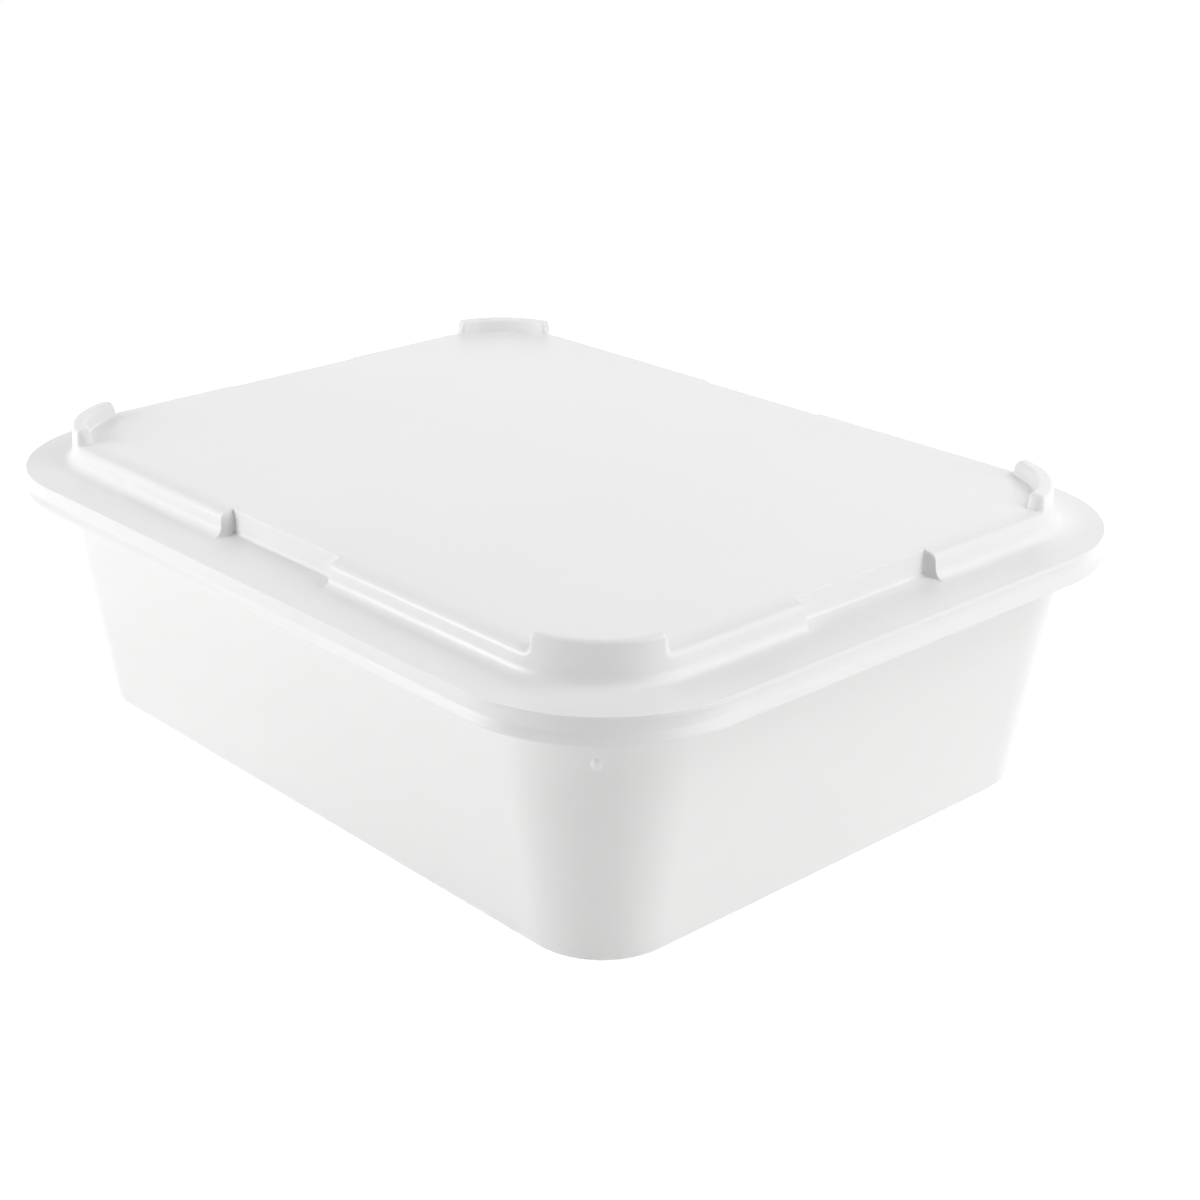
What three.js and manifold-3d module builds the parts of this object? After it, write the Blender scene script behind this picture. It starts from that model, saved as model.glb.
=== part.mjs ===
// Dough tray of moulded white plastic: a deep tub with a flanged rim and a lift-off lid that
// rests on the rim, with corner lugs on the lid that hold the next tray of a stack in place.
// Millimetres, +Z up. Origin under the middle of the tub's floor, X along the tray's length.
import * as THREE from 'three';
import { mergeVertices } from 'three/addons/utils/BufferGeometryUtils.js';
import Module from 'manifold-3d';

const wasm = await Module();
wasm.setup();

// Tub: overall sizes
const rimLength = 400;
const rimWidth = 311;
const rimCorner = 63;
const tubHeight = 108.4;

// Tub: wall and floor
const wallDraft = THREE.MathUtils.degToRad(8.9);
const wallThickness = 2.8;
const floorThickness = 3.2;
const baseEdgeRadius = 4.5;
const floorEdgeRadius = 7;

// Tub: rim, a flange with a turned-down lip that ends in a bead
const rimOverhang = 14.1;
const rimThickness = 3;
const rimLipDepth = 8.5;
const rimLipThickness = 2.4;
const rimTopRadius = 0.9;
const rimLipInnerRadius = 0.8;
const beadProud = 1.1;
const beadHeight = 2.8;
const beadRamp = 1.8;
const beadRadius = 1.5;
const rimRootRadius = 1.5;
const mouthRadius = 1.4;

// Tub: nesting ribs, one on the outside of each corner under the rim
const ribWidth = 3.2;
const ribProud = 0.4;
const ribTipProud = 0.9;
const ribLength = 23;
const ribTipLength = 4;

// Lid: flange
const seatGap = 0.3;
const lidThickness = 2.6;
const lidEdgeHeight = 1.7;
const lidEdgeSetBack = 0.4;
const lidEdgeRadius = 0.7;
const lidSeatRadius = 0.4;
const flangeRise = 1.5;

// Lid: raised panel, which carries the base of the next tray with room around it
const stackClearance = 4.6;
const panelRise = 10.1;
const panelDraft = THREE.MathUtils.degToRad(3);
const panelEdgeRadius = 1.2;

// Lid: ledge round the corners, broken by a finger recess in the middle of each side
const ledgeWidth = 5.3;
const ledgeDrop = 1.5;
const ledgeDraft = THREE.MathUtils.degToRad(5);
const ledgeEdgeRadius = 2.2;
const ledgeFootRadius = 4;
const recessLength = 69;

// Lid: stacking lugs on the corners of the ledge, each with a shallow dip of the panel inside it
const lugHeight = 5.9;
const lugLength = 50;
const lugTopLength = 46;
const lugOuterDraft = THREE.MathUtils.degToRad(6);
const lugInnerDraft = THREE.MathUtils.degToRad(5);
const lugEdgeRadius = 1.7;
const lugOverlap = 1.8;
const lugSetBack = 0.1;
const dipDepth = 0.9;
const dipWidth = 8.5;

// Lid: locating lip that drops into the tub's mouth
const lipClearance = 1.6;
const lipThickness = 2.4;
const lipDepth = 8;

// Facets of round stretches, the sharpest plan corner, and how far joined solids overlap
const cornerSteps = 8;
const filletSteps = 3;
const leastCorner = 1;
const bite = 1.2;
const skim = 0.06;

const white = { color: 0xf0f0ee, roughness: 0.42, metalness: 0 };

// Heights and insets that follow from the sizes; an inset is measured in from the rim's outer edge
const wallInset = (z) => rimOverhang + (tubHeight - z) * Math.tan(wallDraft);
const mouthInset = (z) => wallInset(z) + wallThickness / Math.cos(wallDraft);
const lidBottom = tubHeight + seatGap;
const flangeEdgeTop = lidBottom + lidEdgeHeight;
const flangeTop = flangeEdgeTop + flangeRise;
const panelTop = flangeTop + panelRise;
const panelInset = wallInset(0) - stackClearance;
const panelFoot = panelInset - panelRise * Math.tan(panelDraft);
const flangeSlope = flangeRise / (panelFoot - lidEdgeSetBack);
const flangeZ = (inset) => flangeEdgeTop + flangeSlope * (inset - lidEdgeSetBack);
const ledgeTop = panelTop - ledgeDrop;
const ledgeInset = panelInset - ledgeWidth;
const ledgeWall = (z) => ledgeInset - (ledgeTop - z) * Math.tan(ledgeDraft);
const ledgeFoot = ledgeWall(flangeTop);
const lugTop = panelTop + lugHeight;
const lugInner = panelInset + lugOverlap;
const cornerCentre = new THREE.Vector2(rimLength / 2 - rimCorner, rimWidth / 2 - rimCorner);

// Points of a section whose corners, given as inset, height and radius, are rounded by arcs
function rounded(corners, closed) {
  const count = corners.length;
  const points = [];
  corners.forEach(([inset, z, radius = 0], i) => {
    const corner = new THREE.Vector2(inset, z);
    const atEnd = !closed && (i === 0 || i === count - 1);
    if (atEnd || radius === 0) {
      points.push(corner);
      return;
    }
    const before = corners[(i + count - 1) % count];
    const after = corners[(i + 1) % count];
    const toBefore = new THREE.Vector2(before[0], before[1]).sub(corner).normalize();
    const toAfter = new THREE.Vector2(after[0], after[1]).sub(corner).normalize();
    const half = Math.acos(THREE.MathUtils.clamp(toBefore.dot(toAfter), -1, 1)) / 2;
    const middle = toBefore.clone().add(toAfter).normalize();
    const centre = corner.clone().addScaledVector(middle, radius / Math.sin(half));
    const start = corner.clone().addScaledVector(toBefore, radius / Math.tan(half)).sub(centre);
    const turn = (Math.PI - 2 * half) * Math.sign(start.cross(middle.clone().negate()));
    for (let k = 0; k <= filletSteps; k++) {
      const arm = start.clone().rotateAround(new THREE.Vector2(), turn * k / filletSteps);
      points.push(arm.add(centre));
    }
  });
  return points;
}

// Corner points of the tray's rounded outline in plan, counter-clockwise, at an inset and a height
function ring({ x: inset, y: z }) {
  const radius = Math.max(rimCorner - inset, leastCorner);
  const centre = new THREE.Vector2(rimLength / 2, rimWidth / 2).subScalar(inset + radius);
  const points = [];
  for (let corner = 0; corner < 4; corner++) {
    const side = new THREE.Vector2(corner === 0 || corner === 3 ? 1 : -1, corner < 2 ? 1 : -1);
    for (let k = 0; k <= cornerSteps; k++) {
      const angle = (corner + k / cornerSteps) * Math.PI / 2;
      const x = side.x * centre.x + radius * Math.cos(angle);
      const y = side.y * centre.y + radius * Math.sin(angle);
      points.push(new THREE.Vector3(x, y, z));
    }
  }
  return points;
}

// A closed solid as a geometry for joining and cutting
function solid(geometry) {
  geometry.deleteAttribute('normal');
  geometry.deleteAttribute('uv');
  const merged = mergeVertices(geometry, 1e-4);
  const vertProperties = new Float32Array(merged.attributes.position.array);
  const triVerts = new Uint32Array(merged.index.array);
  return new wasm.Manifold(new wasm.Mesh({ numProp: 3, vertProperties, triVerts }));
}

// A section carried round the tray's outline: a closed section makes a frame, an open one is
// capped flat across its first and its last ring
function around(corners, closed = false) {
  const rings = rounded(corners, closed).map(ring);
  const size = rings[0].length;
  const index = [];
  const last = closed ? rings.length : rings.length - 1;
  for (let i = 0; i < last; i++) {
    const low = i * size;
    const high = ((i + 1) % rings.length) * size;
    for (let j = 0; j < size; j++) {
      const next = (j + 1) % size;
      index.push(low + j, low + next, high + next);
      index.push(low + j, high + next, high + j);
    }
  }
  if (!closed) {
    const top = (rings.length - 1) * size;
    for (let j = 1; j < size - 1; j++) {
      index.push(0, j + 1, j);
      index.push(top, top + j, top + j + 1);
    }
  }
  const geometry = new THREE.BufferGeometry().setFromPoints(rings.flat());
  geometry.setIndex(index);
  return solid(geometry);
}

// A flat shape given by its points, made into a block of the given depth and placed by a matrix
function block(points, depth, matrix) {
  const shape = new THREE.Shape(points.map(([x, y]) => new THREE.Vector2(x, y)));
  const geometry = new THREE.ExtrudeGeometry(shape, { depth, bevelEnabled: false });
  return solid(geometry.applyMatrix4(matrix));
}

// A frame at one corner of the tray: outwards along the corner's middle, across it, and up
function cornerFrame(corner) {
  const angle = Math.PI / 4 + corner * Math.PI / 2;
  const out = new THREE.Vector3(Math.cos(angle), Math.sin(angle), 0);
  const up = new THREE.Vector3(0, 0, 1);
  const across = up.clone().cross(out);
  const centre = new THREE.Vector3(
    Math.sign(out.x) * cornerCentre.x,
    Math.sign(out.y) * cornerCentre.y,
    0,
  );
  return { out, up, across, centre };
}

// A finished solid as a named mesh
function part(name, body) {
  const { vertProperties, triVerts } = body.getMesh();
  const geometry = new THREE.BufferGeometry();
  geometry.setAttribute('position', new THREE.BufferAttribute(vertProperties, 3));
  geometry.setIndex(new THREE.BufferAttribute(triVerts, 1));
  geometry.computeVertexNormals();
  const mesh = new THREE.Mesh(geometry, new THREE.MeshStandardMaterial(white));
  mesh.name = name;
  return mesh;
}

// Tub: floor, drafted wall and rim in one moulded shell
function tubShell() {
  const underRim = tubHeight - rimThickness;
  const lipBottom = tubHeight - rimLipDepth;
  const lipInner = beadProud + rimLipThickness;
  const beadTop = lipBottom + beadHeight;
  const floorInset = mouthInset(floorThickness);
  return around([
    [wallInset(0) + 2 * baseEdgeRadius, 0],
    [wallInset(0), 0, baseEdgeRadius],
    [wallInset(underRim), underRim, rimRootRadius],
    [lipInner, underRim, rimLipInnerRadius],
    [lipInner, lipBottom, rimLipInnerRadius],
    [0, lipBottom, beadRadius],
    [0, beadTop - beadRamp / 2, beadRadius],
    [beadProud, beadTop + beadRamp / 2, beadRadius],
    [beadProud, tubHeight, rimTopRadius],
    [mouthInset(tubHeight), tubHeight, mouthRadius],
    [floorInset, floorThickness, floorEdgeRadius],
    [floorInset + 2 * floorEdgeRadius, floorThickness],
  ]);
}

// Tub: one nesting rib, drawn from the side and as thick as its width
function nestingRib(corner) {
  const { out, up, centre } = cornerFrame(corner);
  const side = out.clone().cross(up);
  const underRim = tubHeight - rimThickness;
  const tipZ = underRim - ribLength;
  const face = (z) => rimCorner - wallInset(z);
  const profile = [
    [face(tipZ) - bite, tipZ],
    [face(tipZ), tipZ],
    [face(tipZ + ribTipLength) + ribTipProud, tipZ + ribTipLength],
    [face(underRim) + ribProud, underRim],
    [face(underRim) + ribProud, underRim + bite],
    [face(underRim) - bite, underRim + bite],
  ];
  const place = centre.clone().addScaledVector(side, -ribWidth / 2);
  const matrix = new THREE.Matrix4().makeBasis(out, up, side).setPosition(place);
  return block(profile, ribWidth, matrix);
}

// Lid: the outside of the flange and the raised panel, still solid
function lidOutside() {
  return around([
    [lidEdgeSetBack + 2 * lidSeatRadius, lidBottom],
    [lidEdgeSetBack, lidBottom, lidSeatRadius],
    [lidEdgeSetBack, flangeEdgeTop, lidEdgeRadius],
    [panelFoot, flangeTop, panelEdgeRadius],
    [panelInset, panelTop, panelEdgeRadius],
    [panelInset + 2 * panelEdgeRadius, panelTop],
  ]);
}

// Lid: the space under the panel
function lidInside() {
  const ceiling = panelTop - lidThickness;
  return around([
    [panelFoot + lidThickness, lidBottom - bite],
    [panelInset + lidThickness, ceiling, panelEdgeRadius],
    [panelInset + 3 * lidThickness, ceiling],
  ]);
}

// Lid: blocks that break a ledge in the middle of each side, leaving a wall beyond the recess
function recessBlocks(wall) {
  const half = recessLength / 2 + wall;
  const low = lidBottom - 2 * bite;
  const height = lugTop - low;
  const near = panelInset + 4 * lidThickness;
  const alongX = [
    [-half, -rimWidth / 2],
    [half, -rimWidth / 2],
    [half, near - rimWidth / 2],
    [-half, near - rimWidth / 2],
  ];
  const alongY = alongX.map(([x, y]) => [-y - rimWidth / 2 + rimLength / 2, x]);
  const lift = new THREE.Matrix4().makeTranslation(0, 0, low);
  const turned = new THREE.Matrix4().makeRotationZ(Math.PI).setPosition(0, 0, low);
  return [alongX, alongY].flatMap((shape) => [
    block(shape, height, lift),
    block(shape, height, turned),
  ]);
}

// Lid: the ledge round the corners, which falls away from the panel and has a filleted foot
function ledge() {
  const inner = panelInset + bite;
  const outer = ledgeFoot - 2 * ledgeFootRadius;
  const frame = around([
    [inner, flangeTop - bite],
    [outer, flangeTop - bite],
    [outer, flangeZ(outer) - skim],
    [ledgeFoot, flangeZ(ledgeFoot), ledgeFootRadius],
    [ledgeInset, ledgeTop, ledgeEdgeRadius],
    [panelInset, panelTop - skim],
    [inner, panelTop - skim],
  ], true);
  return recessBlocks(0).reduce((rest, cut) => rest.subtract(cut), frame);
}

// Lid: the space under the ledge, which keeps its walls as thin as the rest
function ledgeInside() {
  const inner = panelInset + 2 * lidThickness;
  const ceiling = ledgeTop - lidThickness;
  const foot = ledgeWall(flangeTop - lidThickness) + lidThickness;
  const frame = around([
    [inner, lidBottom - bite],
    [foot, lidBottom - bite],
    [ledgeInset + lidThickness, ceiling, panelEdgeRadius],
    [inner, ceiling],
  ], true);
  return recessBlocks(lidThickness).reduce((rest, cut) => rest.subtract(cut), frame);
}

// Lid: the four stretches of a frame that lie in the corners, as long as the lugs
function cornerStretches(frame, low) {
  const slope = (lugLength - lugTopLength) / 2 / (lugTop - ledgeTop);
  const half = (z) => lugLength / 2 - (z - ledgeTop) * slope;
  const high = lugTop + bite;
  const outline = [[-half(low), low], [half(low), low], [half(high), high], [-half(high), high]];
  return [0, 1, 2, 3].map((corner) => {
    const { out, up, across, centre } = cornerFrame(corner);
    const matrix = new THREE.Matrix4().makeBasis(across, up, out).setPosition(centre);
    return frame.intersect(block(outline, rimCorner, matrix));
  });
}

// Lid: stacking lugs
function lugs() {
  const low = ledgeTop - ledgeEdgeRadius;
  const outerLean = (lugTop - ledgeTop) * Math.tan(lugOuterDraft);
  const innerLean = (lugTop - panelTop) * Math.tan(lugInnerDraft);
  const frame = around([
    [lugInner, low],
    [ledgeWall(low) + lugSetBack, low],
    [ledgeInset + lugSetBack, ledgeTop],
    [ledgeInset + outerLean, lugTop, lugEdgeRadius],
    [lugInner - innerLean, lugTop, lugEdgeRadius],
  ], true);
  return cornerStretches(frame, low);
}

// Lid: the shallow dips of the panel inside the lugs, deepest at the lug's foot
function dips() {
  const inner = lugInner + dipWidth;
  const outer = lugInner - bite;
  const low = panelTop - dipDepth * (inner - outer) / dipWidth;
  const frame = around([
    [inner, panelTop],
    [outer, low],
    [outer, panelTop + bite],
    [inner, panelTop + bite],
  ], true);
  return cornerStretches(frame, low - bite);
}

// Lid: the lip that drops into the tub's mouth and keeps the lid from sliding
function locatingLip() {
  const low = tubHeight - lipDepth;
  const face = (z) => mouthInset(z) + lipClearance;
  const high = flangeZ(face(tubHeight)) - lidThickness / 2;
  return around([
    [face(low) + lipThickness, low],
    [face(low), low],
    [face(tubHeight), high],
    [face(tubHeight) + lipThickness, high],
  ], true);
}

let tub = tubShell();
for (let corner = 0; corner < 4; corner++) {
  tub = tub.add(nestingRib(corner));
}

let lid = lidOutside().add(ledge());
lid = lid.subtract(lidInside()).subtract(ledgeInside());
for (const dip of dips()) {
  lid = lid.subtract(dip);
}
for (const lug of lugs()) {
  lid = lid.add(lug);
}
lid = lid.add(locatingLip());

const doughTray = new THREE.Group();
doughTray.add(part('tub', tub), part('lid', lid));

export default doughTray;
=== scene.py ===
import math

import bmesh
import bpy
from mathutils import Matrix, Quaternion, Vector


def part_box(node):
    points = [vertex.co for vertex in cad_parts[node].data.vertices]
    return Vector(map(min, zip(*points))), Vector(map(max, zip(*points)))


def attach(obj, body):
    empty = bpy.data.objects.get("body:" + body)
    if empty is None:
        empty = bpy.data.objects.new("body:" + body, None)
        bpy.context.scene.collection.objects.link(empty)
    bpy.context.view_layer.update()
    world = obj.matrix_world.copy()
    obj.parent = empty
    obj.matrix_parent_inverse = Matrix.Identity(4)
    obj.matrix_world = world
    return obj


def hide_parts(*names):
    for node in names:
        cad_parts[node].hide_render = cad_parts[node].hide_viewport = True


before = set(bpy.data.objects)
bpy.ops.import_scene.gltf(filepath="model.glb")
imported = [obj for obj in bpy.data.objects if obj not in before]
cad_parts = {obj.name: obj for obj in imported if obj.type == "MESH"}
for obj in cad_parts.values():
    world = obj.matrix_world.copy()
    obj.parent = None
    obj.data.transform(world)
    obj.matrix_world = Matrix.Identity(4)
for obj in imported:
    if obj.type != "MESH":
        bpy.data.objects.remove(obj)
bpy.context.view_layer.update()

# The tub is one injection-moulded shell of white polypropylene: floor, drafted walls and a flanged
# rim in a single skin of even thickness. It is drawn straight up off its core, so every wall leans
# out, and a slim nesting rib stands outside each corner under the rim.
MM = 0.001
tub_low, tub_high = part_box("tub")
rim_corner = 63 * MM
core_x = tub_high.x - rim_corner
core_y = tub_high.y - rim_corner
tub_height = tub_high.z
wall_angle = math.radians(8.9)
wall_draft = math.tan(wall_angle)
wall_across = 2.8 * MM / math.cos(wall_angle)
wall_rows = [20 * MM, 40 * MM, 60 * MM, 78 * MM]
inner_rows = [80 * MM, 50 * MM]
floor_thickness = 3.2 * MM
rim_overhang = 14.1 * MM
rim_thickness = 3 * MM
rim_lip_depth = 8.5 * MM
rim_lip_inner = 3.6 * MM
under_rim = tub_height - rim_thickness
rim_lip_bottom = tub_height - rim_lip_depth
bead_proud = 1.6 * MM
bead_low = rim_lip_bottom + 1.3 * MM
bead_high = rim_lip_bottom + 3.9 * MM
base_edge = 4.5 * MM
floor_edge = 7 * MM
flat_margin = 14 * MM
ease_steps = 6


def outer_wall(z):
    """How far the tub's outer face lies inside the rim's edge at a height."""
    return rim_overhang + (tub_height - z) * wall_draft


def inner_wall(z):
    return outer_wall(z) + wall_across


def plan_foot(co):
    """The point of the inner rectangle that a point of the rounded outline belongs to."""
    x = min(max(co.x, -core_x), core_x)
    y = min(max(co.y, -core_y), core_y)
    return Vector((x, y, 0))


def seat(vert, inset, z):
    """Moves a ring's vertex square to the outline, to an inset from the rim's edge and a height."""
    foot = plan_foot(vert.co)
    out = Vector((vert.co.x - foot.x, vert.co.y - foot.y, 0)).normalized()
    vert.co = foot + out * (rim_corner - inset)
    vert.co.z = z


def from_diagonal(co):
    """Angle of a point on a corner's arc from that corner's middle, or None on a straight side."""
    foot = plan_foot(co)
    across = abs(co.x - foot.x)
    along = abs(co.y - foot.y)
    if min(across, along) < 1e-7:
        return None
    return abs(math.atan2(along, across) - math.pi / 4)


def plan_ring(corner_steps, corner_cuts, side_cuts):
    """The tray's rounded outline as a ring of edges, with extra points at angles from each corner's
    middle and at distances from the middle of each side."""
    bm = bmesh.new()
    bmesh.ops.create_grid(bm, x_segments=1, y_segments=1, size=1)
    bmesh.ops.scale(bm, vec=(tub_high.x, tub_high.y, 1), verts=bm.verts)
    bmesh.ops.bevel(bm, geom=bm.verts[:], offset=rim_corner, offset_type="OFFSET",
                    segments=corner_steps, profile=0.5, affect="VERTICES", material=-1)
    bmesh.ops.delete(bm, geom=bm.faces[:], context="FACES_ONLY")
    for distance in side_cuts:
        for side in (-1, 1):
            for normal in (Vector((1, 0, 0)), Vector((0, 1, 0))):
                bmesh.ops.bisect_plane(bm, geom=bm.verts[:] + bm.edges[:], dist=1e-6,
                                       plane_co=normal * side * distance, plane_no=normal)
    for sign_x in (-1, 1):
        for sign_y in (-1, 1):
            centre = Vector((sign_x * core_x, sign_y * core_y, 0))
            middle = math.atan2(sign_y, sign_x)
            for angle in corner_cuts:
                for turn in (middle - angle, middle + angle):
                    arc = [e for e in bm.edges
                           if all((v.co.x - centre.x) * sign_x > -1e-6
                                  and (v.co.y - centre.y) * sign_y > -1e-6 for v in e.verts)]
                    ends = list({v for e in arc for v in e.verts})
                    bmesh.ops.bisect_plane(bm, geom=ends + arc, dist=1e-6, plane_co=centre,
                                           plane_no=(-math.sin(turn), math.cos(turn), 0))
    for vert in bm.verts:
        seat(vert, 0, 0)
    return bm


def eased(corners):
    """Points of a section whose corners, each an inset, a height and a reach, are rounded by arcs
    that begin and end at the reach from the corner."""
    points = []
    for i, (inset, z, reach) in enumerate(corners):
        corner = Vector((inset, z))
        if reach == 0:
            points.append(corner)
            continue
        back = (Vector(corners[i - 1][:2]) - corner).normalized()
        ahead = (Vector(corners[i + 1][:2]) - corner).normalized()
        weight = math.sqrt(max(0, (1 - back.dot(ahead)) / 2))
        start = corner + back * reach
        end = corner + ahead * reach
        for k in range(ease_steps + 1):
            t = k / ease_steps
            shares = ((1 - t) ** 2, 2 * weight * t * (1 - t), t ** 2)
            points.append((start * shares[0] + corner * shares[1] + end * shares[2]) / sum(shares))
    return points


def draw_skin(bm, stations, section_of):
    """Draws a ring of edges out through a row of stations, closing its first and last ring.
    section_of gives a vertex's own inset and height at a station."""
    for vert in bm.verts:
        seat(vert, *section_of(vert.co, 0))
    ring = bm.edges[:]
    bmesh.ops.edgeloop_fill(bm, edges=ring)
    for station in range(1, stations):
        drawn = bmesh.ops.extrude_edge_only(bm, edges=ring)["geom"]
        verts = {item for item in drawn if isinstance(item, bmesh.types.BMVert)}
        ring = [item for item in drawn
                if isinstance(item, bmesh.types.BMEdge) and verts.issuperset(item.verts)]
        for vert in verts:
            seat(vert, *section_of(vert.co, station))
    bmesh.ops.edgeloop_fill(bm, edges=ring)
    bmesh.ops.recalc_face_normals(bm, faces=bm.faces)


def finished(name, bm, material):
    """A smooth-shaded piece whose flat stretches stay flat."""
    for face in bm.faces:
        face.smooth = True
    mesh = bpy.data.meshes.new(name)
    bm.to_mesh(mesh)
    bm.free()
    mesh.materials.append(material)
    piece = bpy.data.objects.new(name, mesh)
    bpy.context.scene.collection.objects.link(piece)
    flats = piece.modifiers.new("flats", "WEIGHTED_NORMAL")
    flats.keep_sharp = True
    flats.weight = 100
    return piece


def smooth_step(t):
    t = min(max(t, 0), 1)
    return t * t * (3 - 2 * t)


rib_half_width = 4.5 * MM
rib_proud = 0.35 * MM
rib_drop_proud = 0.75 * MM
rib_drop_half = 2 * MM
rib_drop_length = 5.4 * MM
rib_tip = 82.4 * MM
rib_top = under_rim - 2 * MM
rib_drop_top = rib_tip + rib_drop_length
rib_radius = rim_corner - outer_wall(rib_tip)
rib_rows = [rib_tip + rib_drop_length * k / 12 for k in range(13)]
rib_rows += [rib_drop_top + (rib_top - rib_drop_top) * k / 6 for k in range(1, 7)]
rib_columns = [rib_drop_half * k / 6 for k in range(7)] + [3 * MM, 3.8 * MM, rib_half_width]

tub_section = eased(
    [(outer_wall(0) + flat_margin, 0, 0), (outer_wall(0), 0, base_edge)]
    + [(outer_wall(z), z, 0) for z in wall_rows + rib_rows]
    + [
        (outer_wall(under_rim), under_rim, 1.5 * MM),
        (rim_lip_inner, under_rim, 0.8 * MM),
        (rim_lip_inner, rim_lip_bottom, 0.8 * MM),
        (0, rim_lip_bottom, 0.6 * MM),
        (0, bead_low, 0.6 * MM),
        (bead_proud, bead_high, 1 * MM),
        (bead_proud, tub_height, 0.4 * MM),
        (inner_wall(tub_height), tub_height, 1.6 * MM),
    ]
    + [(inner_wall(z), z, 0) for z in inner_rows]
    + [
        (inner_wall(floor_thickness), floor_thickness, floor_edge),
        (inner_wall(floor_thickness) + flat_margin, floor_thickness, 0),
    ]
)
rib_first = next(i for i, p in enumerate(tub_section) if abs(p.y - rib_tip) < 1e-6)
rib_last = rib_first + len(rib_rows)


def tub_at(co, station):
    """The tub's section, with the nesting rib standing out of the wall at each corner's middle."""
    inset, z = tub_section[station]
    angle = from_diagonal(co)
    if angle is None or not rib_first <= station < rib_last:
        return inset, z
    across = rib_radius * angle
    rise = smooth_step((z - rib_tip) / rib_drop_length)
    crown = 1 - smooth_step(across / rib_half_width)
    off_middle = (2 * (z - rib_tip) / rib_drop_length - 1) ** 2 + (across / rib_drop_half) ** 2
    drop = max(0, 1 - off_middle)
    return inset - rib_proud * rise * crown - rib_drop_proud * drop, z


def group_socket(group, name, kind, way, value=None):
    socket = group.interface.new_socket(name=name, in_out=way, socket_type=kind)
    if value is not None:
        socket.default_value = value


def moulded_grain():
    """Fine texture of the mould's surface: a height for the bump and a slow drift of tone."""
    group = bpy.data.node_groups.new("moulded_grain", "ShaderNodeTree")
    group_socket(group, "Vector", "NodeSocketVector", "INPUT")
    group_socket(group, "Grain", "NodeSocketFloat", "INPUT", 1400.0)
    group_socket(group, "Height", "NodeSocketFloat", "OUTPUT")
    group_socket(group, "Drift", "NodeSocketFloat", "OUTPUT")
    nodes = group.nodes
    links = group.links
    given = nodes.new("NodeGroupInput")
    put_out = nodes.new("NodeGroupOutput")
    fine = nodes.new("ShaderNodeTexNoise")
    fine.inputs["Detail"].default_value = 3
    links.new(given.outputs["Vector"], fine.inputs["Vector"])
    links.new(given.outputs["Grain"], fine.inputs["Scale"])
    links.new(fine.outputs["Fac"], put_out.inputs["Height"])
    slow = nodes.new("ShaderNodeTexNoise")
    slow.inputs["Scale"].default_value = 9
    slow.inputs["Detail"].default_value = 4
    links.new(given.outputs["Vector"], slow.inputs["Vector"])
    links.new(slow.outputs["Fac"], put_out.inputs["Drift"])
    return group


def handling_marks():
    """Hairline scratches from stacking and washing, sparse and short, as a mask."""
    group = bpy.data.node_groups.new("handling_marks", "ShaderNodeTree")
    group_socket(group, "Vector", "NodeSocketVector", "INPUT")
    group_socket(group, "Amount", "NodeSocketFloat", "INPUT", 0.5)
    group_socket(group, "Marks", "NodeSocketFloat", "OUTPUT")
    nodes = group.nodes
    links = group.links
    given = nodes.new("NodeGroupInput")
    put_out = nodes.new("NodeGroupOutput")
    where = nodes.new("ShaderNodeTexNoise")
    where.inputs["Scale"].default_value = 14
    where.inputs["Detail"].default_value = 2
    links.new(given.outputs["Vector"], where.inputs["Vector"])
    patch = nodes.new("ShaderNodeMapRange")
    patch.inputs["From Min"].default_value = 0.52
    patch.inputs["From Max"].default_value = 0.75
    links.new(where.outputs["Fac"], patch.inputs["Value"])
    total = None
    for turn, stretch in ((0.5, (30, 900, 900)), (-0.9, (40, 1100, 1100)), (1.7, (900, 26, 900))):
        lay = nodes.new("ShaderNodeMapping")
        lay.inputs["Rotation"].default_value = (0.2 * turn, 0.1 * turn, turn)
        lay.inputs["Scale"].default_value = stretch
        links.new(given.outputs["Vector"], lay.inputs["Vector"])
        hair = nodes.new("ShaderNodeTexNoise")
        hair.inputs["Scale"].default_value = 1
        hair.inputs["Detail"].default_value = 1
        links.new(lay.outputs["Vector"], hair.inputs["Vector"])
        line = nodes.new("ShaderNodeMapRange")
        line.inputs["From Min"].default_value = 0.68
        line.inputs["From Max"].default_value = 0.74
        links.new(hair.outputs["Fac"], line.inputs["Value"])
        if total is None:
            total = line.outputs["Result"]
            continue
        both = nodes.new("ShaderNodeMath")
        both.operation = "MAXIMUM"
        links.new(total, both.inputs[0])
        links.new(line.outputs["Result"], both.inputs[1])
        total = both.outputs["Value"]
    sparse = nodes.new("ShaderNodeMath")
    sparse.operation = "MULTIPLY"
    links.new(total, sparse.inputs[0])
    links.new(patch.outputs["Result"], sparse.inputs[1])
    amount = nodes.new("ShaderNodeMath")
    amount.operation = "MULTIPLY"
    links.new(sparse.outputs["Value"], amount.inputs[0])
    links.new(given.outputs["Amount"], amount.inputs[1])
    links.new(amount.outputs["Value"], put_out.inputs["Marks"])
    return group


grain_group = moulded_grain()
marks_group = handling_marks()
clean_white = (0.874, 0.874, 0.872, 1)
dull_white = (0.846, 0.846, 0.844, 1)
satin = 0.34
satin_drift = 0.04
mark_roughness = 0.12
grain_depth = 0.06 * MM
grain_strength = 0.35


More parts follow.
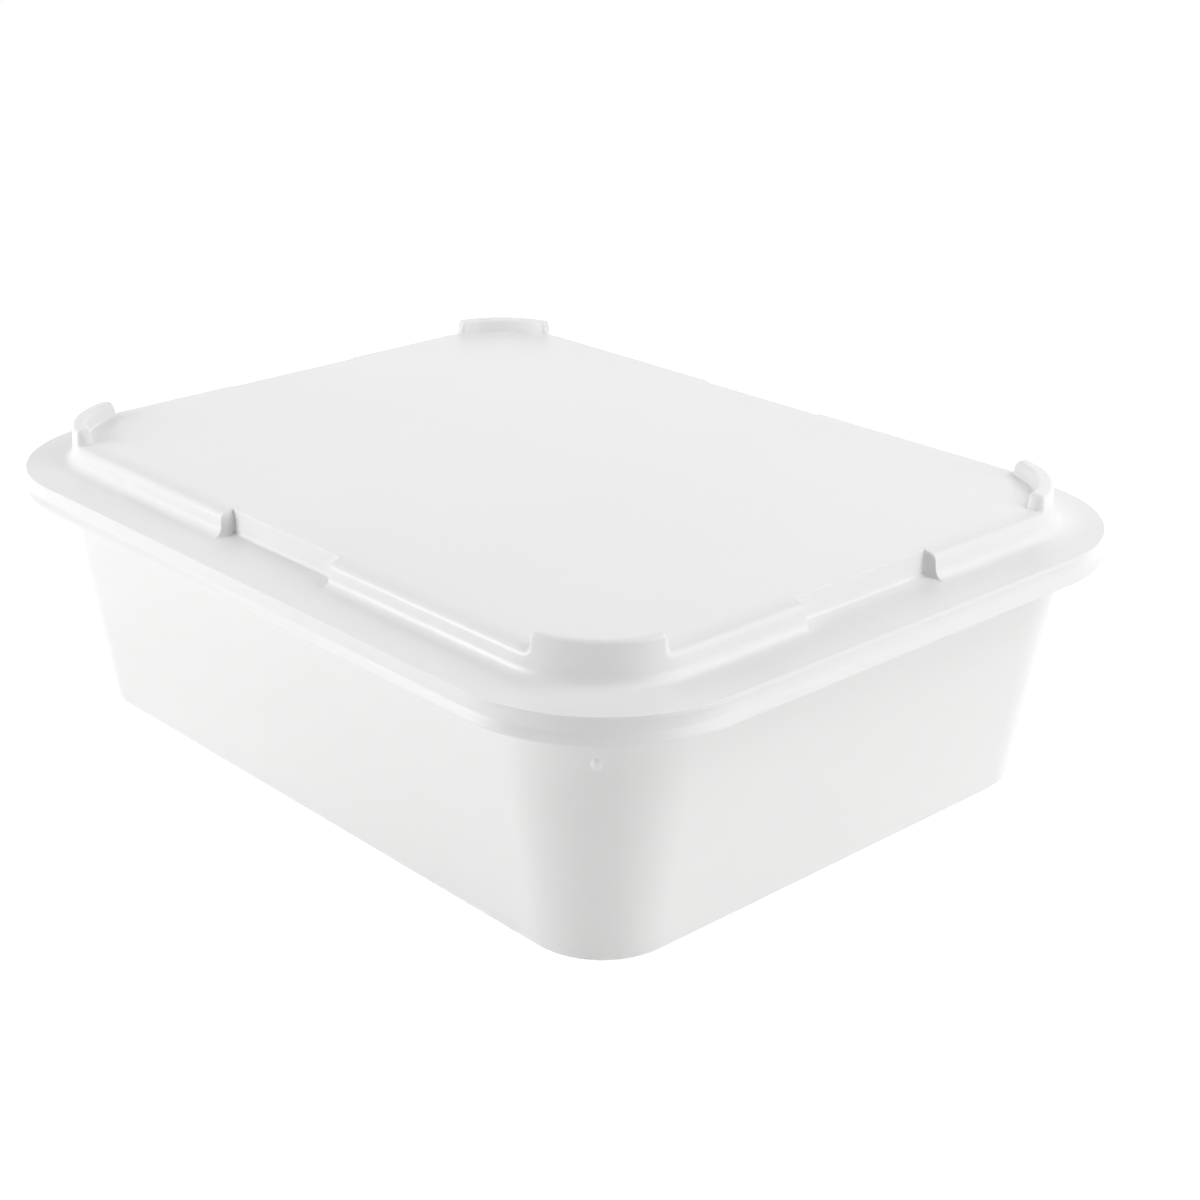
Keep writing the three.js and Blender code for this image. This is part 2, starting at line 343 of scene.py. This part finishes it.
def white_plastic(name, marks):
    """Satin white polypropylene: two close whites drifting into each other, a fine moulded grain
    and hairline handling marks that catch the light."""
    material = bpy.data.materials.new(name)
    material.use_nodes = True
    nodes = material.node_tree.nodes
    links = material.node_tree.links
    shader = nodes["Principled BSDF"]
    place = nodes.new("ShaderNodeTexCoord")
    grain = nodes.new("ShaderNodeGroup")
    grain.node_tree = grain_group
    links.new(place.outputs["Object"], grain.inputs["Vector"])
    scuffs = nodes.new("ShaderNodeGroup")
    scuffs.node_tree = marks_group
    scuffs.inputs["Amount"].default_value = marks
    links.new(place.outputs["Object"], scuffs.inputs["Vector"])
    tone = nodes.new("ShaderNodeMix")
    tone.data_type = "RGBA"
    tone.inputs["A"].default_value = clean_white
    tone.inputs["B"].default_value = dull_white
    links.new(grain.outputs["Drift"], tone.inputs["Factor"])
    links.new(tone.outputs["Result"], shader.inputs["Base Color"])
    sheen = nodes.new("ShaderNodeMapRange")
    sheen.inputs["To Min"].default_value = satin - satin_drift
    sheen.inputs["To Max"].default_value = satin + satin_drift
    links.new(grain.outputs["Drift"], sheen.inputs["Value"])
    rougher = nodes.new("ShaderNodeMath")
    rougher.operation = "MULTIPLY_ADD"
    rougher.inputs[1].default_value = mark_roughness
    links.new(scuffs.outputs["Marks"], rougher.inputs[0])
    links.new(sheen.outputs["Result"], rougher.inputs[2])
    links.new(rougher.outputs["Value"], shader.inputs["Roughness"])
    depth = nodes.new("ShaderNodeMath")
    depth.operation = "SUBTRACT"
    links.new(grain.outputs["Height"], depth.inputs[0])
    links.new(scuffs.outputs["Marks"], depth.inputs[1])
    bump = nodes.new("ShaderNodeBump")
    bump.inputs["Strength"].default_value = grain_strength
    bump.inputs["Distance"].default_value = grain_depth
    links.new(depth.outputs["Value"], bump.inputs["Height"])
    links.new(bump.outputs["Normal"], shader.inputs["Normal"])
    return material


tub_plastic = white_plastic("tub_plastic", marks=0.5)
tub_corner_steps = 32
tub_bm = plan_ring(tub_corner_steps, [column / rib_radius for column in rib_columns], [])
draw_skin(tub_bm, len(tub_section), tub_at)
tub = finished("white_tub", tub_bm, tub_plastic)
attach(tub, "tub")
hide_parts("tub")

# The lid is a second moulding of the same plastic, loose on the rim. Its flange is flush with the
# rim, a raised panel carries the next tray, a ledge round the corners breaks off at a recess in
# the middle of each side, and a lip underneath drops into the tub's mouth.
lid_low, lid_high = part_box("lid")
lid_thickness = 2.6 * MM
seat_z = tub_height + 0.06 * MM
edge_top = tub_height + 2 * MM
edge_inset = 0.8 * MM
flange_top = edge_top + 1.5 * MM
lug_top = lid_high.z
lug_height = 5.9 * MM
panel_top = lug_top - lug_height
panel_under = panel_top - lid_thickness
panel_past_base = 4.6 * MM
panel_lean = 0.53 * MM
panel_inset = outer_wall(0) - panel_past_base
panel_foot = panel_inset - panel_lean
ledge_drop = 1.5 * MM
ledge_width = 5.3 * MM
ledge_lean = 0.75 * MM
ledge_top = panel_top - ledge_drop
ledge_inset = panel_inset - ledge_width
ledge_foot = ledge_inset - ledge_lean
ledge_under = ledge_top - lid_thickness
foot_run = 6 * MM
lip_low = lid_low.z
lip_clearance = 1.6 * MM
lip_thickness = 2.4 * MM
recess_half = 34.5 * MM
recess_ease = 0.9 * MM
lug_half = 25 * MM
lug_top_half = 23 * MM
lug_radius = rim_corner - ledge_inset
lug_end_radius = 3 * MM
lug_foot_ease = 0.25
lug_top_ease = 0.45
dip_fade = 9 * MM


def flange_at(inset):
    """Height of the flange's gently rising top at an inset."""
    share = (inset - edge_inset) / (panel_foot - edge_inset)
    return edge_top + (flange_top - edge_top) * share


def lip_face(z):
    return inner_wall(z) + lip_clearance


def lid_section(under, over):
    """The lid's section from the middle of its underside, round its edge, to the middle of its top.
    under and over hold the corners that differ between ledge, recess and lug. There are always four
    and eight of them, so that one section runs into another point by point."""
    return eased(
        [(panel_inset + flat_margin, panel_under, 0)]
        + under
        + [
            (lip_face(seat_z) + lip_thickness, seat_z, 0.6 * MM),
            (lip_face(lip_low) + lip_thickness, lip_low, 0.9 * MM),
            (lip_face(lip_low), lip_low, 0.9 * MM),
            (lip_face(seat_z), seat_z, 0.8 * MM),
            (edge_inset, seat_z, 0.3 * MM),
            (edge_inset, edge_top, 0.35 * MM),
        ]
        + over
        + [(panel_inset + flat_margin, panel_top, 0)]
    )


under_ledge = [
    (panel_inset + lid_thickness, panel_under, 0.45 * MM),
    (panel_inset + lid_thickness, ledge_under, 0.45 * MM),
    (ledge_inset + lid_thickness, ledge_under, 0.8 * MM),
    (ledge_foot + lid_thickness, seat_z, 0.5 * MM),
]
under_recess = [
    (panel_inset + lid_thickness, panel_under, 0.8 * MM),
    (panel_inset + lid_thickness - 0.15 * MM, panel_top - 6 * MM, 0.8 * MM),
    (panel_inset + lid_thickness - 0.3 * MM, panel_top - 9.5 * MM, 0.8 * MM),
    (panel_foot + lid_thickness, seat_z, 0.5 * MM),
]
over_foot = [
    (ledge_foot - foot_run, flange_at(ledge_foot - foot_run), 2 * MM),
    (ledge_foot, flange_at(ledge_foot) + 0.3 * MM, 3.6 * MM),
]
over_ledge = over_foot + [
    (ledge_inset, ledge_top, 2 * MM),
    (ledge_inset + 2.6 * MM, ledge_top + 0.8 * MM, 0.7 * MM),
    (ledge_inset + 4 * MM, ledge_top + 1.12 * MM, 0.6 * MM),
    (ledge_inset + 5.2 * MM, ledge_top + 1.32 * MM, 0.5 * MM),
    (ledge_inset + 6.2 * MM, ledge_top + 1.43 * MM, 0.5 * MM),
    (ledge_inset + 7.4 * MM, panel_top, 0.5 * MM),
]
over_recess = [
    (panel_foot - 5 * MM, flange_at(panel_foot - 5 * MM), 2.2 * MM),
    (panel_foot, flange_top + 0.2 * MM, 1.2 * MM),
    (panel_foot + 0.12 * MM, panel_top - 7 * MM, 0.4 * MM),
    (panel_foot + 0.24 * MM, panel_top - 5.8 * MM, 0.6 * MM),
    (panel_foot + 0.36 * MM, panel_top - 3.8 * MM, 0.6 * MM),
    (panel_foot + 0.42 * MM, panel_top - 2.2 * MM, 0.6 * MM),
    (panel_inset, panel_top, 0.7 * MM),
    (panel_inset + 1.9 * MM, panel_top, 0.3 * MM),
]
over_lug = over_foot + [
    (ledge_inset + 0.1 * MM, ledge_top, 0.5 * MM),
    (ledge_inset + 0.2 * MM, ledge_top + 1.1 * MM, 0.5 * MM),
    (ledge_inset + 0.8 * MM, lug_top, 1.7 * MM),
    (ledge_inset + 6.7 * MM, lug_top, 1.7 * MM),
    (ledge_inset + 7.1 * MM, panel_top - 0.8 * MM, 0.4 * MM),
    (ledge_inset + 15.6 * MM, panel_top, 0.8 * MM),
]
over_lug_end = over_ledge[:4] + [(ledge_inset + 3.3 * MM, lug_top, 1.6 * MM)] + over_lug[5:]
dip_end = (ledge_inset + 7.1 * MM, panel_top - 0.25 * MM, 0.15 * MM)
over_lug_dip = over_lug[:6] + [dip_end] + over_lug[7:]
plain_section = lid_section(under_ledge, over_ledge)
recess_section = lid_section(under_recess, over_recess)
lug_section = lid_section(under_ledge, over_lug)
lug_end_section = lid_section(under_ledge, over_lug_end)
lug_dip_section = lid_section(under_ledge, over_lug_dip)


def recess_share(co):
    """1 in a recess, 0 on the ledge, easing from one to the other at the recess's ends."""
    if from_diagonal(co) is not None:
        return 0
    along = abs(co.x) if abs(co.x) < core_x else abs(co.y)
    return 1 - smooth_step((along - recess_half + recess_ease) / (2 * recess_ease))


def lug_share(co):
    """1 on a lug, 0 on the ledge, with the lug's sloping ends between, eased at top and foot."""
    angle = from_diagonal(co)
    if angle is None:
        return 0
    rise = (lug_half - lug_radius * math.sin(angle)) / (lug_half - lug_top_half)
    if rise < lug_foot_ease:
        return max(rise + lug_foot_ease, 0) ** 2 / (4 * lug_foot_ease)
    if rise > 1 - lug_top_ease:
        return 1 - max(1 + lug_top_ease - rise, 0) ** 2 / (4 * lug_top_ease)
    return rise


def lug_rounding(co):
    """0 along a lug, rising to 1 at its ends, where its outer face rounds off in plan."""
    angle = from_diagonal(co)
    if angle is None:
        return 0
    past = (lug_radius * math.sin(angle) - lug_half + lug_end_radius) / lug_end_radius
    past = min(max(past, 0), 1)
    return 1 - math.sqrt(1 - past * past)


def dip_fading(co):
    """0 along a lug, easing to 1 at its ends, where the dip inside it runs out."""
    angle = from_diagonal(co)
    if angle is None:
        return 1
    return smooth_step((lug_radius * math.sin(angle) - lug_half + dip_fade) / dip_fade)


def lid_at(co, station):
    """The lid's section at a point of its outline."""
    plain = plain_section[station]
    recess = recess_section[station]
    lug = lug_section[station]
    rounded = lug_end_section[station] - lug
    shallow = lug_dip_section[station] - lug
    lug = lug + rounded * lug_rounding(co) + shallow * dip_fading(co)
    return plain + (recess - plain) * recess_share(co) + (lug - plain) * lug_share(co)


lid_plastic = white_plastic("lid_plastic", marks=0.6)
lid_corner_steps = 36
lug_cut_step = 0.22 * MM
lug_cuts = [math.asin((lug_top_half + lug_cut_step * k) / lug_radius) for k in range(-5, 13)]
recess_cuts = [recess_half + recess_ease * k / 4 for k in range(-4, 5)]
lid_bm = plan_ring(lid_corner_steps, lug_cuts, recess_cuts)
draw_skin(lid_bm, len(plain_section), lid_at)
lid = finished("white_lid", lid_bm, lid_plastic)
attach(lid, "lid")
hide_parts("lid")

# The stage is a plain pale floor that runs past the frame's edges and keeps the tray's shadow.
# It shows white to the camera, and so does the sky beyond it.
floor_half = 6
floor_white = (0.9, 0.897, 0.892, 1)
floor_glow = 0.8
sky_light = 0.12


def shown_directly(tree):
    """1 for the rays that show the backdrop to the camera, in a mirror or through glass, else 0."""
    rays = tree.nodes.new("ShaderNodeLightPath")
    total = rays.outputs["Is Camera Ray"]
    for kind in ("Is Glossy Ray", "Is Transmission Ray"):
        both = tree.nodes.new("ShaderNodeMath")
        both.operation = "ADD"
        tree.links.new(total, both.inputs[0])
        tree.links.new(rays.outputs[kind], both.inputs[1])
        total = both.outputs["Value"]
    return total


floor_bm = bmesh.new()
bmesh.ops.create_grid(floor_bm, x_segments=1, y_segments=1, size=floor_half)
floor_mesh = bpy.data.meshes.new("floor")
floor_bm.to_mesh(floor_mesh)
floor_bm.free()
floor = bpy.data.objects.new("floor", floor_mesh)
bpy.context.scene.collection.objects.link(floor)
floor_paint = bpy.data.materials.new("floor_paint")
floor_paint.use_nodes = True
paint_tree = floor_paint.node_tree
paint = paint_tree.nodes["Principled BSDF"]
paint.inputs["Base Color"].default_value = floor_white
paint.inputs["Roughness"].default_value = 0.9
paint.inputs["Specular IOR Level"].default_value = 0
paint.inputs["Emission Color"].default_value = (1, 1, 1, 1)
glow = paint_tree.nodes.new("ShaderNodeMath")
glow.operation = "MULTIPLY"
glow.inputs[1].default_value = floor_glow
paint_tree.links.new(shown_directly(paint_tree), glow.inputs[0])
paint_tree.links.new(glow.outputs["Value"], paint.inputs["Emission Strength"])
floor_mesh.materials.append(floor_paint)

world = bpy.data.worlds.new("studio")
bpy.context.scene.world = world
world.use_nodes = True
sky_tree = world.node_tree
sky = sky_tree.nodes["Background"]
sky.inputs["Color"].default_value = (1, 1, 1, 1)
sky_level = sky_tree.nodes.new("ShaderNodeMapRange")
sky_level.inputs["To Min"].default_value = sky_light
sky_level.inputs["To Max"].default_value = 1
sky_tree.links.new(shown_directly(sky_tree), sky_level.inputs["Value"])
sky_tree.links.new(sky_level.outputs["Result"], sky.inputs["Strength"])

# The light is a plain soft studio set: a low and a high softbox to the left and to the right, and
# weak ones above and behind, so that the corner nearest the camera is the walls' darkest part.
aim = Vector((0, 0, 0.06))


def way_to(azimuth, elevation):
    """The direction out from the tray at angles round it from its long side and up, in degrees."""
    turn = math.radians(azimuth)
    lift = math.radians(elevation)
    level = math.cos(lift)
    return Vector((math.sin(turn) * level, -math.cos(turn) * level, math.sin(lift)))


def softbox(name, azimuth, elevation, distance, width, height, power):
    """A rectangular area lamp that faces the tray."""
    way = way_to(azimuth, elevation)
    lamp = bpy.data.lights.new(name, "AREA")
    lamp.shape = "RECTANGLE"
    lamp.size = width
    lamp.size_y = height
    lamp.energy = power
    box = bpy.data.objects.new(name, lamp)
    box.location = aim + way * distance
    box.rotation_euler = way.to_track_quat("Z", "Y").to_euler()
    bpy.context.scene.collection.objects.link(box)


softbox("left_low", -32, 12, 2, 1, 0.9, 21.7)
softbox("left_high", -58, 36, 2, 1.6, 1.2, 6.6)
softbox("right_low", 104, 12, 2, 1.4, 0.9, 11.2)
softbox("right_high", 128, 44, 2, 1.6, 1.2, 13.1)
softbox("right_top", 110, 62, 2, 1.6, 1.2, 5.6)
softbox("back_left", 215, 24, 2, 2.4, 1.2, 5.1)
softbox("overhead", 200, 80, 2, 1.6, 1.6, 6.2)

# The camera stands at the photograph's angle, with its focal length and the offset of its frame
# worked out for a picture of 1200 by 1200 pixels.
picture = 1200
focal_pixels = 2198.59
axis_pixel_x = 542.61
axis_pixel_y = 597.03
camera_azimuth = 48.83
camera_elevation = 22.16
camera_roll = math.radians(-0.4)
camera_distance = 0.93178
view_way = way_to(camera_azimuth, camera_elevation)
lens = bpy.data.cameras.new("camera")
lens.sensor_width = 36
lens.sensor_height = 36
lens.lens = focal_pixels * lens.sensor_width / picture
lens.shift_x = (picture / 2 - axis_pixel_x) / picture
lens.shift_y = -(picture / 2 - axis_pixel_y) / picture
lens.clip_start = 0.01
camera = bpy.data.objects.new("camera", lens)
camera.location = aim + view_way * camera_distance
camera_turn = view_way.to_track_quat("Z", "Y") @ Quaternion((0, 0, 1), camera_roll)
camera.rotation_euler = camera_turn.to_euler()
bpy.context.scene.collection.objects.link(camera)
bpy.context.scene.camera = camera

bpy.context.scene.view_settings.view_transform = "Standard"
